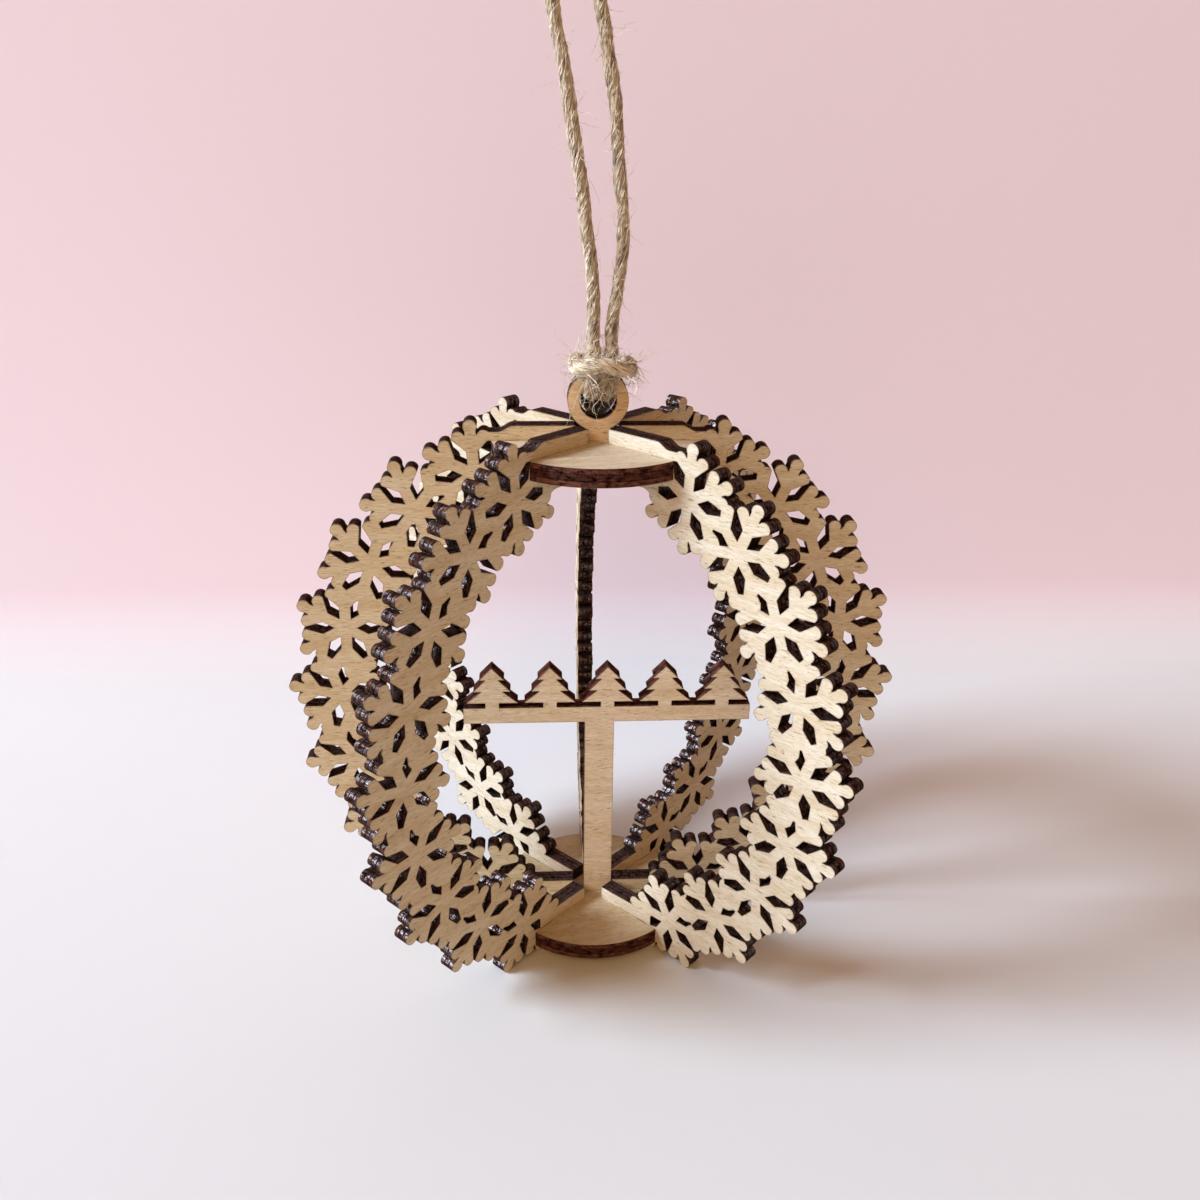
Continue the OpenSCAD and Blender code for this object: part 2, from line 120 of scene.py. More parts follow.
def plywood(name, turn_deg, middle_m, pale, tan, burnt=scorch_brown, shine=rim_shine):
    """Laser-cut three-ply sheet. The piece's points are turned into the sheet's own millimetres:
    x along the grain, y through the sheet, z across the grain. Points at half the sheet's thickness
    are face, with stretched noise for grain and pores, and a dark halo along its outline. All others
    are scorched edge, with the plies as bands of y and glassy patches of char."""
    material = bpy.data.materials.new(name)
    material.use_nodes = True
    tree = material.node_tree
    shader = tree.nodes["Principled BSDF"]
    turn = Euler([math.radians(t) for t in turn_deg])
    shift = -(turn.to_matrix() @ Vector(middle_m)) / mm
    points = add_node(tree, "ShaderNodeTexCoord", {}).outputs["Object"]
    sheet = add_node(tree, "ShaderNodeMapping", {
        "Vector": points, "Location": shift, "Rotation": turn, "Scale": (1 / mm,) * 3}).outputs[0]
    depth = add_node(tree, "ShaderNodeSeparateXYZ", {0: sheet}).outputs["Y"]
    depth = add_node(tree, "ShaderNodeMath", {0: depth}, operation="ABSOLUTE").outputs[0]
    edge_below_mm, face_above_mm = 0.06, 0.02
    face = add_node(tree, "ShaderNodeMapRange", {
        "Value": depth, "From Min": ply_mm / 2 - edge_below_mm,
        "From Max": ply_mm / 2 - face_above_mm}).outputs[0]

    def noise(stretch, detail, roughness):
        """Noise in the sheet, squeezed by the factors along its three directions."""
        vector = add_node(tree, "ShaderNodeMapping", {"Vector": sheet, "Scale": stretch}).outputs[0]
        return add_node(tree, "ShaderNodeTexNoise", {
            "Vector": vector, "Scale": 1.0, "Detail": detail, "Roughness": roughness}).outputs["Fac"]

    def ramp(value, *stops):
        """Colours of a value, as pairs of place and colour."""
        node = add_node(tree, "ShaderNodeValToRGB", {"Fac": value})
        for place, colour in stops[2:]:
            node.color_ramp.elements.new(place)
        for element, (place, colour) in zip(node.color_ramp.elements, sorted(stops)):
            element.position = place
            element.color = colour
        return node.outputs["Color"]

    def mix(share, a, b, how="MIX"):
        """a and b as colours, mixed by share."""
        node = add_node(tree, "ShaderNodeMix", {}, data_type="RGBA", blend_type=how)
        for key, value in ((0, share), (6, a), (7, b)):
            if isinstance(value, bpy.types.NodeSocket):
                tree.links.new(value, node.inputs[key])
            else:
                node.inputs[key].default_value = value
        return node.outputs[2]

    bands = noise((0.05, 0.7, 0.42), detail=3, roughness=0.6)
    fibres = noise((0.5, 2.0, 7.0), detail=4, roughness=0.7)
    pores = noise((0.8, 3.0, 4.5), detail=2, roughness=0.5)
    wood = ramp(bands, (0.35, tan), (0.65, pale))
    wood = mix(0.95, wood, ramp(fibres, (0.3, fibre_shade), (0.6, white)), "MULTIPLY")
    wood = mix(0.85, wood, ramp(pores, (0.28, pore_shade), (0.39, white)), "MULTIPLY")
    rounded = add_node(tree, "ShaderNodeBevel", {"Radius": halo_mm * mm}, samples=4).outputs[0]
    straight = add_node(tree, "ShaderNodeNewGeometry", {}).outputs["True Normal"]
    tilt = add_node(tree, "ShaderNodeVectorMath", {
        0: rounded, 1: straight}, operation="DOT_PRODUCT").outputs["Value"]
    halo = add_node(tree, "ShaderNodeMapRange", {
        "Value": tilt, "From Min": 0.99, "From Max": 0.72, "To Max": 0.92}).outputs[0]
    wood = mix(halo, wood, mix(1.0, wood, halo_shade, "MULTIPLY"))

    beam = noise((3.2, 0.1, 3.2), detail=3, roughness=0.65)
    soot = noise((0.9, 1.6, 0.9), detail=3, roughness=0.6)
    glaze = noise((1.5, 1.3, 1.5), detail=2, roughness=0.6)
    level = add_node(tree, "ShaderNodeMath", {0: depth, 1: ply_mm / 2}, operation="DIVIDE").outputs[0]
    edge = ramp(soot, (0.36, scorch_black), (0.64, burnt))
    edge = mix(1.0, edge, ramp(level, *ply_tones), "MULTIPLY")
    patch = ramp(glaze, (0.44, black), (0.57, white))
    lines = ramp(level, (0.25, white), (glue_at, glue_shine), (0.45, white))
    glassy = mix(1.0, mix(1.0, patch, lines, "MULTIPLY"), (shine, shine, shine, 1), "MULTIPLY")
    tree.links.new(mix(face, mix(glassy, edge, char_glint), wood), shader.inputs["Base Color"])
    tree.links.new(mix(face, glassy, black), shader.inputs["Metallic"])
    tree.links.new(mix(face, char_grazing, white), shader.inputs["Specular Tint"])
    gloss = add_node(tree, "ShaderNodeMapRange", {"Value": face, "To Min": 0.0, "To Max": face_gloss})
    tree.links.new(gloss.outputs[0], shader.inputs["Specular IOR Level"])
    rough = add_node(tree, "ShaderNodeMapRange", {
        "Value": face, "To Min": edge_rough, "To Max": face_rough})
    tree.links.new(rough.outputs[0], shader.inputs["Roughness"])
    grooves = ramp(level, (0.27, grey), (glue_at, black), (0.43, grey))
    relief = mix(face, mix(1.0, beam, grooves, "ADD"), fibres)
    height = add_node(tree, "ShaderNodeMapRange", {
        "Value": face, "To Min": edge_relief_mm * mm, "To Max": face_relief_mm * mm})
    bump = add_node(tree, "ShaderNodeBump", {
        "Strength": 1.0, "Distance": height.outputs[0], "Height": relief})
    tree.links.new(bump.outputs[0], shader.inputs["Normal"])
    return material


def dress(node, material):
    """Gives a cut piece its own material."""
    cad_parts[node].data.materials.clear()
    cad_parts[node].data.materials.append(material)


# The bottom disc takes the darker tones of painted shade, for the shade it sits in under the fins.
for disc, pale, tan in (
        ("top_disc", disc_pale, disc_tan), ("bottom_disc", painted_shade_pale, painted_shade_tan)):
    low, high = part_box(disc)
    dress(disc, plywood(disc + "_plywood", disc_grain_deg, (low + high) / 2, pale, tan))


# Seven fins stand round the axis at every eighth of a turn but the front one. Each is a row of nine
# snowflakes cut in one piece, slotted over both discs, with the sheet's grain running outwards.
# Their many small cuts are charred blacker than the discs' rims. The two fins whose faces turn to the
# window are made paler, as painted light.
ring_low, ring_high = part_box("eyelet")
axis_x = (ring_low.x + ring_high.x) / 2
birch_pale = (0.75, 0.642, 0.45, 1)
birch_tan = (0.63, 0.488, 0.286, 1)
fin_char = (0.12, 0.05, 0.03, 1)
fin_shine = 1.0
grain_shift_m = 0.031
fin_turns_deg = {
    "fin_front_right": -45, "fin_right": 0, "fin_back_right": 45, "fin_back": 90,
    "fin_back_left": 135, "fin_left": 180, "fin_front_left": 225,
}
# Painted light: the two fins whose faces turn to the window get paler tones, for the light falling on
# them.
window_lit_fins = ("fin_front_right", "fin_back_left")
painted_light_pale = (0.745, 0.67, 0.525, 1)
painted_light_tan = (0.63, 0.51, 0.335, 1)
for place, (fin, fin_turn) in enumerate(fin_turns_deg.items()):
    middle = Vector((axis_x, 0, grain_shift_m * place))
    pale, tan = (painted_light_pale, painted_light_tan) if fin in window_lit_fins else (birch_pale, birch_tan)
    dress(fin, plywood(fin + "_plywood", (0, 0, -fin_turn), middle, pale, tan, fin_char, fin_shine))


# The eyelet is a ring on a short neck, laser-cut from the same sheet in a warmer veneer.
# A tab below its neck is glued into the top disc's middle slot.
eyelet_pale = (0.94, 0.71, 0.435, 1)
eyelet_tan = (0.83, 0.585, 0.325, 1)
eyelet_grain_deg = (0, 8, 0)
eyelet_middle = Vector((axis_x, 0, 0.02))
dress("eyelet", plywood("eyelet_plywood", eyelet_grain_deg, eyelet_middle, eyelet_pale, eyelet_tan))


# The plaque is a bar with a row of fir trees on a stem, laser-cut in one piece from the same sheet.
# A tab at the stem's foot is glued into the bottom disc's middle slot.
plaque_pale = (0.86, 0.745, 0.555, 1)
plaque_tan = (0.73, 0.575, 0.365, 1)
plaque_grain_deg = (0, 0, 0)
plaque_middle = Vector((axis_x, 0, 0.055))
dress("plaque", plywood("plaque_plywood", plaque_grain_deg, plaque_middle, plaque_pale, plaque_tan))


# The loop is jute twine of two loosely twisted plies. It is laid round the eyelet in a lark's-head
# hitch: both strands go down through the ring, up behind it, and under a bar across the front.
ring_r_mm = (ring_high.x - ring_low.x) / mm / 2
ring_centre_mm = np.array([axis_x / mm, 0.0, ring_high.z / mm - ring_r_mm])
twine_mm = 1.7
twine_pitch_mm = 16.0
twine_waves = 0.035
hitch_mm = 2.2
hitch_swell_mm = 6.0
straw = (0.74, 0.6, 0.42, 1)
straw_brown = (0.44, 0.32, 0.185, 1)
straw_dark = (0.05, 0.032, 0.018, 1)
hitch_straw = (0.95, 0.82, 0.64, 1)
hitch_brown = (0.68, 0.53, 0.34, 1)
hitch_dark = (0.1, 0.07, 0.04, 1)
blotch_shade = (0.16, 0.12, 0.09, 1)
# Painted shade: the brown that darkens the twine below the hitch bar, inside the ring.
painted_shade_brown = (0.5, 0.41, 0.31, 1)
shade_from_mm, shade_full_mm = 4.6, 2.4
fibre_relief_mm = 0.25


def smooth_route(points, steps):
    """Catmull-Rom curve: on each span a cubic through its two points, with half the chord
    between the points on either side as the slope at each of them."""
    p = np.concatenate([[2 * points[0] - points[1]], points, [2 * points[-1] - points[-2]]])
    a, b, c, d = (p[i:len(p) - 3 + i, None, :] for i in range(4))
    t = np.linspace(0, 1, steps, endpoint=False)[None, :, None]
    curve = (b + t / 2 * (c - a) + t**2 * (a - 2.5 * b + 2 * c - 0.5 * d)
             + t**3 / 2 * (3 * b - a - 3 * c + d))
    return np.concatenate([curve.reshape(-1, 3), points[-1:]])


def carried_sides(line):
    """Tangents of a line and two side directions, carried from point to point without twisting."""
    ahead = np.gradient(line, axis=0)
    ahead /= np.linalg.norm(ahead, axis=1, keepdims=True)
    side = np.zeros_like(ahead)
    carried = np.array([1.0, 0.1, 0.0])
    for i, t in enumerate(ahead):
        carried = carried - (carried @ t) * t
        carried /= np.linalg.norm(carried)
        side[i] = carried
    return ahead, side, np.cross(ahead, side)


def grid_mesh(name, points_mm, along_mm):
    """A closed skin over rings of points: quads between neighbouring rings, and a fan to the middle of
    each end. The UV map has the way along in millimetres and the share of the way round."""
    rings, around, _ = points_mm.shape
    ends = points_mm[[0, -1]].mean(axis=1)
    vertices = np.concatenate([points_mm.reshape(-1, 3), ends]) * mm
    i, k = np.meshgrid(np.arange(rings - 1), np.arange(around), indexing="ij")
    here, there = i * around, (i + 1) * around
    nxt = (k + 1) % around
    quads = np.stack([here + k, here + nxt, there + nxt, there + k], axis=-1).reshape(-1, 4)
    k = np.arange(around)
    foot = np.stack([(k + 1) % around, k, np.full(around, rings * around)], axis=-1)
    last = (rings - 1) * around
    head = np.stack([last + k, last + (k + 1) % around, np.full(around, rings * around + 1)], axis=-1)
    mesh = bpy.data.meshes.new(name)
    mesh.from_pydata(vertices.tolist(), [], quads.tolist() + foot.tolist() + head.tolist())
    corner = np.zeros(len(mesh.loops), int)
    mesh.loops.foreach_get("vertex_index", corner)
    uv = np.zeros((len(corner), 2))
    uv[:, 0] = np.concatenate([np.repeat(along_mm, around), along_mm[[0, -1]]])[corner]
    turns = np.concatenate([np.tile(np.arange(around) / around, rings), [0.5, 0.5]])
    uv[:, 1] = turns[corner]
    last_quad = np.tile(np.arange(around) == around - 1, rings - 1)
    closing = np.zeros(len(corner), bool)
    closing[:quads.size] = np.repeat(last_quad, 4) & (uv[:quads.size, 1] == 0)
    uv[closing, 1] = 1.0
    mesh.uv_layers.new(name="UVMap").data.foreach_set("uv", uv.ravel())
    mesh.polygons.foreach_set("use_smooth", np.ones(len(mesh.polygons), bool))
    piece = bpy.data.objects.new(name, mesh)
    bpy.context.scene.collection.objects.link(piece)
    return piece


def way_along(line):
    """Distance along a line at each of its points."""
    return np.concatenate([[0.0], np.cumsum(np.linalg.norm(np.diff(line, axis=0), axis=1))])


def twisted_twine(name, line, thickness, seed, around=28):
    """Two round plies laid round each other. At angle a from the plies' own direction the outline is
    r(a) = c |cos a| + sqrt(b^2 - c^2 sin^2 a), two circles of radius b whose centres stand c off the
    line, and the direction turns once per pitch. Low waves along and round it make the fibres uneven."""
    along = way_along(line)
    ahead, side, other = carried_sides(line)
    a = np.linspace(0, 2 * np.pi, around, endpoint=False)
    off, ply = 0.14, 0.41
    outline = off * np.abs(np.cos(a)) + np.sqrt(ply**2 - (off * np.sin(a)) ** 2)
    draw = np.random.default_rng(seed)
    waves = np.zeros((len(line), around))
    for wave_mm, lobes in ((9, 1), (5.5, 2), (3.4, 3), (2.1, 5), (1.3, 8)):
        start = draw.uniform(0, 2 * np.pi, 2)
        lengthwise = np.sin(along[:, None] * 2 * np.pi / wave_mm + start[0])
        waves += lengthwise * np.cos(lobes * a[None, :] + start[1])
    thickness = np.broadcast_to(thickness, along.shape)
    r = thickness[:, None] * outline[None, :] * (1 + twine_waves * waves)
    turned = a[None, :] + (2 * np.pi * along / twine_pitch_mm)[:, None]
    points = (line[:, None, :] + r[..., None] * (
        np.cos(turned)[..., None] * side[:, None, :] + np.sin(turned)[..., None] * other[:, None, :]))
    return grid_mesh(name, points, along)


def jute(name, dark, brown, pale):
    """Straw-coloured fibres: noise drawn out along the twine makes light and dark strands, on the UV
    map. Blotches darken it here and there, and below the hitch bar, where it passes through the ring,
    it is darkened brown with painted shade."""
    material = bpy.data.materials.new(name)
    material.use_nodes = True
    tree = material.node_tree
    shader = tree.nodes["Principled BSDF"]
    uv = add_node(tree, "ShaderNodeTexCoord", {}).outputs["UV"]
    strands = add_node(tree, "ShaderNodeMapping", {"Vector": uv, "Scale": (0.45, 26.0, 1.0)}).outputs[0]
    fibre = add_node(tree, "ShaderNodeTexNoise", {
        "Vector": strands, "Scale": 1.0, "Detail": 4.0, "Roughness": 0.7}).outputs["Fac"]
    colour = add_node(tree, "ShaderNodeValToRGB", {"Fac": fibre})
    colour.color_ramp.elements.new(0.5)
    for element, (place, tone) in zip(colour.color_ramp.elements, (
            (0.34, dark), (0.46, brown), (0.62, pale))):
        element.position = place
        element.color = tone
    blotch = add_node(tree, "ShaderNodeMapping", {"Vector": uv, "Scale": (0.28, 3.0, 1.0)}).outputs[0]
    blotch = add_node(tree, "ShaderNodeTexNoise", {
        "Vector": blotch, "Scale": 1.0, "Detail": 3.0, "Roughness": 0.7}).outputs["Fac"]
    shade = add_node(tree, "ShaderNodeValToRGB", {"Fac": blotch})
    for element, (place, tone) in zip(shade.color_ramp.elements, ((0.36, blotch_shade), (0.5, white))):
        element.position = place
        element.color = tone
    blotched = add_node(tree, "ShaderNodeMix", {
        0: 0.85, 6: colour.outputs["Color"], 7: shade.outputs["Color"]},
        data_type="RGBA", blend_type="MULTIPLY")
    # Painted shade: below the hitch bar, where the twine passes through the ring, its colour is darkened
    # brown.
    place = add_node(tree, "ShaderNodeTexCoord", {}).outputs["Object"]
    height = add_node(tree, "ShaderNodeSeparateXYZ", {0: place}).outputs["Z"]
    below_bar = add_node(tree, "ShaderNodeMapRange", {
        "Value": height, "From Min": (ring_centre_mm[2] + shade_from_mm) * mm,
        "From Max": (ring_centre_mm[2] + shade_full_mm) * mm})
    with_painted_shade = add_node(tree, "ShaderNodeMix", {
        0: below_bar.outputs[0], 6: blotched.outputs[2], 7: painted_shade_brown},
        data_type="RGBA", blend_type="MULTIPLY")
    tree.links.new(with_painted_shade.outputs[2], shader.inputs["Base Color"])
    bump = add_node(tree, "ShaderNodeBump", {
        "Strength": 1.0, "Distance": fibre_relief_mm * mm, "Height": fibre})
    tree.links.new(bump.outputs[0], shader.inputs["Normal"])
    shader.inputs["Roughness"].default_value = 0.8
    shader.inputs["Sheen Weight"].default_value = 0.25
    return material


jute_twine = jute("jute_twine", straw_dark, straw_brown, straw)
jute_hitch = jute("jute_hitch", hitch_dark, hitch_brown, hitch_straw)

strand_foot = 9.3
strand_gap = 0.3
left_x, right_x = -0.9, 1.9
hitch_gap = 0.3
bar_gap = 0.8
hitch_wrap = ply_mm / 2 + hitch_mm / 2 + hitch_gap
hitch_bar = hitch_wrap + hitch_mm + bar_gap
leg_x = 1.15
bar_up = 6.4


def hitch_side(side, top_x, out, up):
    """One side of the hitch: down in front, through the ring, up behind it and over to the front bar.
    It bends over the ring that far out from the eyelet's centre and that far up."""
    return np.array([
        [top_x, -2.5, strand_foot - strand_gap], [top_x, -2.5, 7.9], [side * leg_x, -hitch_wrap, 5],
        [side * leg_x, -hitch_wrap, 3], [side * leg_x, -hitch_wrap + 0.45, 1.7],
        [side * leg_x, -ply_mm / 2, 1.25], [side * leg_x, 0, 1.15], [side * leg_x, ply_mm / 2, 1.25],
        [side * (leg_x + 0.2), hitch_wrap - 0.4, 1.8], [side * (leg_x + 0.5), hitch_wrap, 3],
        [side * out * 0.68, hitch_wrap + 0.1, up * 0.72], [side * out * 0.85, 2.6, up * 0.91],
        [side * out * 0.96, 1.5, up], [side * out, 0, up], [side * out, -1.7, up - 0.1],
        [side * out * 0.97, -3.3, up - 0.1],
        [side * out * 0.74, 0.9 - hitch_bar, up * 0.7 + bar_up * 0.3],
        [side * out * 0.4, 0.2 - hitch_bar, up * 0.35 + bar_up * 0.65]])


hitch_route = np.concatenate([
    hitch_side(-1, left_x, out=3.5, up=5.8), [[0, -hitch_bar, bar_up]],
    hitch_side(1, right_x, out=4.8, up=5.4)[::-1]])
hitch_line = smooth_route(hitch_route + ring_centre_mm, 8)
hitch_along = way_along(hitch_line)
from_ends = np.minimum(hitch_along, hitch_along[-1] - hitch_along)
swell = np.clip(from_ends / hitch_swell_mm, 0, 1)
hitch = twisted_twine("hitch", hitch_line, twine_mm + (hitch_mm - twine_mm) * swell, seed=3)
hitch.data.materials.append(jute_hitch)
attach(hitch, "hitch")
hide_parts("twine_hitch")


# Two strands of the same twine rise from the hitch to the end knot, pulled taut by the hook between
# them. Loose fibres stand off them.
left_route = np.array([
    [left_x, -2.5, strand_foot], [left_x, -2.5, 11.5], [left_x, -2.4, 13.5],
    [-1, -2.2, 18], [-1.6, -2, 23], [-2.3, -1.8, 28], [-2.9, -1.6, 33], [-3.8, -1.4, 38],
    [-4.6, -1.2, 43], [-5.4, -1, 48], [-6.3, -0.6, 52], [-7, -0.3, 56], [-7.4, 0, 59],
    [-7.4, 0, 61.5], [-6.9, 0, 63.6], [-6.1, 0, 65.2], [-5.7, 0, 66.6], [-5.7, 0, 67.6]])
right_route = np.array([
    [right_x, -2.5, strand_foot], [right_x, -2.5, 11.5], [2.1, -2.4, 13.5],
    [2.8, -2.2, 18], [3.4, -2, 23], [3.3, -1.8, 28], [2.8, -1.6, 33], [2.4, -1.4, 38],
    [2, -1.2, 43], [1.2, -1, 48], [0.5, -0.6, 52], [-0.3, -0.3, 56], [-1.1, 0, 59],
    [-1.7, 0, 61.5], [-2.4, 0, 63.6], [-3.2, 0, 65.2], [-3.6, 0, 66.6], [-3.6, 0, 67.6]])
strand_in_hitch = 1.4


def fibre_tubes(name, path, fibre_mm, material):
    """Three-sided tubes along rows of points, which taper to their tips."""
    count, rings, _ = path.shape
    ahead = np.gradient(path, axis=1)
    ahead /= np.linalg.norm(ahead, axis=2, keepdims=True)
    across = np.cross(ahead, np.array([0.31, 0.87, 0.38]))
    across /= np.linalg.norm(across, axis=2, keepdims=True)
    third = np.cross(ahead, across)
    a = np.arange(3) * 2 * np.pi / 3
    taper = fibre_mm / 2 * (1 - 0.7 * np.linspace(0, 1, rings)[None, :, None, None] ** 2)
    points = path[:, :, None, :] + taper * (
        np.cos(a)[:, None] * across[:, :, None, :] + np.sin(a)[:, None] * third[:, :, None, :])
    h, i, k = np.meshgrid(np.arange(count), np.arange(rings - 1), np.arange(3), indexing="ij")
    here = (h * rings + i) * 3
    nxt = (k + 1) % 3
    quads = np.stack([here + k, here + nxt, here + 3 + nxt, here + 3 + k], axis=-1).reshape(-1, 4)
    first = np.arange(count)[:, None] * rings * 3
    caps = np.concatenate([first + [2, 1, 0], first + (rings - 1) * 3 + [0, 1, 2]])
    mesh = bpy.data.meshes.new(name)
    mesh.from_pydata((points.reshape(-1, 3) * mm).tolist(), [], quads.tolist() + caps.tolist())
    mesh.polygons.foreach_set("use_smooth", np.ones(len(mesh.polygons), bool))
    piece = bpy.data.objects.new(name, mesh)
    bpy.context.scene.collection.objects.link(piece)
    mesh.materials.append(material)
    return piece


def stray_hairs(name, line, thickness, count, longest, seed, fibre_mm, material):
    """Loose fibres. Each leaves the twine's surface at a random place, leans along it, bends and curls:
    point(t) = root + length (t lean + t^2 bend + t^3 curl) + t wave sin(turns t)."""
    draw = np.random.default_rng(seed)
    ahead, side, other = carried_sides(line)
    spot = draw.integers(1, len(line) - 1, count)
    turn = draw.uniform(0, 2 * np.pi, (count, 1))
    out = np.cos(turn) * side[spot] + np.sin(turn) * other[spot]
    lean = out * draw.uniform(0.2, 0.8, (count, 1)) + ahead[spot] * draw.normal(0, 0.9, (count, 1))
    lean /= np.linalg.norm(lean, axis=1, keepdims=True)
    bend = draw.normal(0, 0.6, (count, 3))
    curl = draw.normal(0, 0.4, (count, 3)) - 0.6 * bend
    wave = draw.normal(0, 0.12, (count, 3))
    length = longest * draw.uniform(0.2, 1.0, (count, 1)) ** 2
    t = np.linspace(0, 1, 10)[None, :, None]
    turns = draw.uniform(5, 14, (count, 1))[:, None, :]
    path = (line[spot] + 0.42 * thickness * out)[:, None, :] + length[:, None, :] * (
        t * lean[:, None, :] + t**2 * bend[:, None, :] + t**3 * curl[:, None, :]
        + t * wave[:, None, :] * np.sin(turns * t))
    return fibre_tubes(name, path, fibre_mm, material)


def laid_fibres(name, line, thickness, count, seed):
    """Fibres that lie loosely on the twine: each winds along it at an uneven pitch and stands off
    a little in its middle, r = thickness (base + lift sin(pi t))."""
    draw = np.random.default_rng(seed)
    along = way_along(line)
    _, side, other = carried_sides(line)
    t = np.linspace(0, 1, 14)[None, :]
    length = draw.uniform(2.5, 7.0, (count, 1))
    s = draw.uniform(0, 1, (count, 1)) * (along[-1] - length) + t * length
    start = draw.uniform(0, 2 * np.pi, (count, 1))
    turn = start + 2 * np.pi * s / twine_pitch_mm * draw.uniform(0.3, 1.7, (count, 1))
    turn += draw.normal(0, 0.35, (count, 1)) * np.sin(np.pi * t * draw.uniform(1, 3, (count, 1)))
    base = draw.uniform(0.42, 0.54, (count, 1))
    lift = draw.uniform(0, 0.12, (count, 1))
    r = thickness * (base + lift * np.sin(np.pi * t))

    def at(values):
        """Values along the line at each fibre's points."""
        return np.stack([np.interp(s, along, values[:, k]) for k in range(3)], axis=-1)

    path = at(line) + r[..., None] * (
        np.cos(turn)[..., None] * at(side) + np.sin(turn)[..., None] * at(other))
    return fibre_tubes(name, path, laid_mm, jute_hair)


def fibre_tone(name, dark, pale):
    """Loose fibres between two tones, in spots of about a millimetre."""
    material = bpy.data.materials.new(name)
    material.use_nodes = True
    tree = material.node_tree
    place = add_node(tree, "ShaderNodeTexCoord", {}).outputs["Object"]
    spots = add_node(tree, "ShaderNodeTexNoise", {
        "Vector": place, "Scale": 900.0, "Detail": 1.0}).outputs["Fac"]
    tone = add_node(tree, "ShaderNodeValToRGB", {"Fac": spots})
    for element, (share, colour) in zip(tone.color_ramp.elements, ((0.36, dark), (0.6, pale))):
        element.position = share
        element.color = colour
    tree.links.new(tone.outputs["Color"], tree.nodes["Principled BSDF"].inputs["Base Color"])
    tree.nodes["Principled BSDF"].inputs["Roughness"].default_value = 0.6
    return material


hair_mm, laid_mm, end_mm = 0.075, 0.13, 0.17
hair_pale = (0.9, 0.79, 0.6, 1)
thread_brown = (0.6, 0.48, 0.32, 1)
thread_pale = (0.93, 0.83, 0.66, 1)
jute_hair = fibre_tone("jute_hair", straw_brown, hair_pale)
jute_thread = fibre_tone("jute_thread", thread_brown, thread_pale)

strands = {}
for name, route, seed in (("strand_left", left_route, 11), ("strand_right", right_route, 12)):
    route = np.concatenate([route[:1] - [0, 0, strand_in_hitch], route])
    line = smooth_route(route + ring_centre_mm, 14)
    strand = twisted_twine(name, line, twine_mm, seed)
    strand.data.materials.append(jute_twine)
    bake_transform(strand)
    loose = [stray_hairs(name + "_hairs", line, twine_mm, count=260, longest=3.0, seed=seed + 20,
                         fibre_mm=hair_mm, material=jute_hair),
             laid_fibres(name + "_fibres", line, twine_mm, count=420, seed=seed + 30)]
    for piece in loose:
        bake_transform(piece)
    strands[name] = (strand, loose, line)
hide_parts("twine_left")
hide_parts("twine_right")


# The hitch is frayed where it is knotted most tightly. Short jute fibres stand off all round it,
# and a few long threads have come loose and lie over the ring.
for piece in (stray_hairs("hitch_hairs", hitch_line, hitch_mm, count=560, longest=4.2, seed=41,
                          fibre_mm=hair_mm, material=jute_hair),
              stray_hairs("hitch_ends", hitch_line, hitch_mm, count=110, longest=4.5, seed=43,
                          fibre_mm=end_mm, material=jute_thread),
              laid_fibres("hitch_fibres", hitch_line, hitch_mm, count=560, seed=42)):
    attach(piece, "hitch")

thread_mm = 0.2
long_threads = np.array([
    [[-0.8, -4.0, 5.2], [-1.7, -3.6, 4.2], [-2.7, -2.6, 2.4],
     [-3.6, -2.2, 0], [-4.4, -2.4, -2.2], [-5.2, -2.9, -3.8]],
    [[-0.4, -4.0, 2.6], [0.3, -4.2, 3.7], [1.4, -4.2, 4.1],
     [2.8, -3.4, 3.8], [3.9, -2.4, 3.2], [4.9, -1.6, 2.4]],
    [[-1.4, -4.0, 5.4], [-2.4, -3.2, 4.9], [-3.3, -2.5, 4.1],
     [-4.1, -2.0, 3.3], [-4.8, -1.6, 2.6], [-5.3, -1.3, 2.1]],
    [[2.0, -6.2, 5.6], [2.8, -6.3, 4.9], [3.8, -5.9, 4.7],
     [4.7, -5.1, 5.0], [5.5, -4.2, 5.6], [6.1, -3.4, 6.4]],
    [[0.6, -3.8, 2.2], [0.4, -3.6, 1.2], [-0.3, -2.9, 0.1],
     [-0.9, -2.2, -0.9], [-0.8, -1.9, -1.7], [0.0, -1.9, -2.2]]])
thread_lines = np.stack([smooth_route(line + ring_centre_mm, 6) for line in long_threads])
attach(fibre_tubes("hitch_threads", thread_lines, thread_mm, jute_thread), "hitch")


# Tangled jute fibres fill the ring's hole behind the hitch. They are rubbed off the twine there,
# and are coloured near-black as painted shade, for the shade inside the ring.
tangle_mm = 0.12
shaded_dark = (0.02, 0.016, 0.013, 1)
shaded_grey = (0.13, 0.115, 0.1, 1)
jute_shaded = fibre_tone("jute_shaded", shaded_dark, shaded_grey)


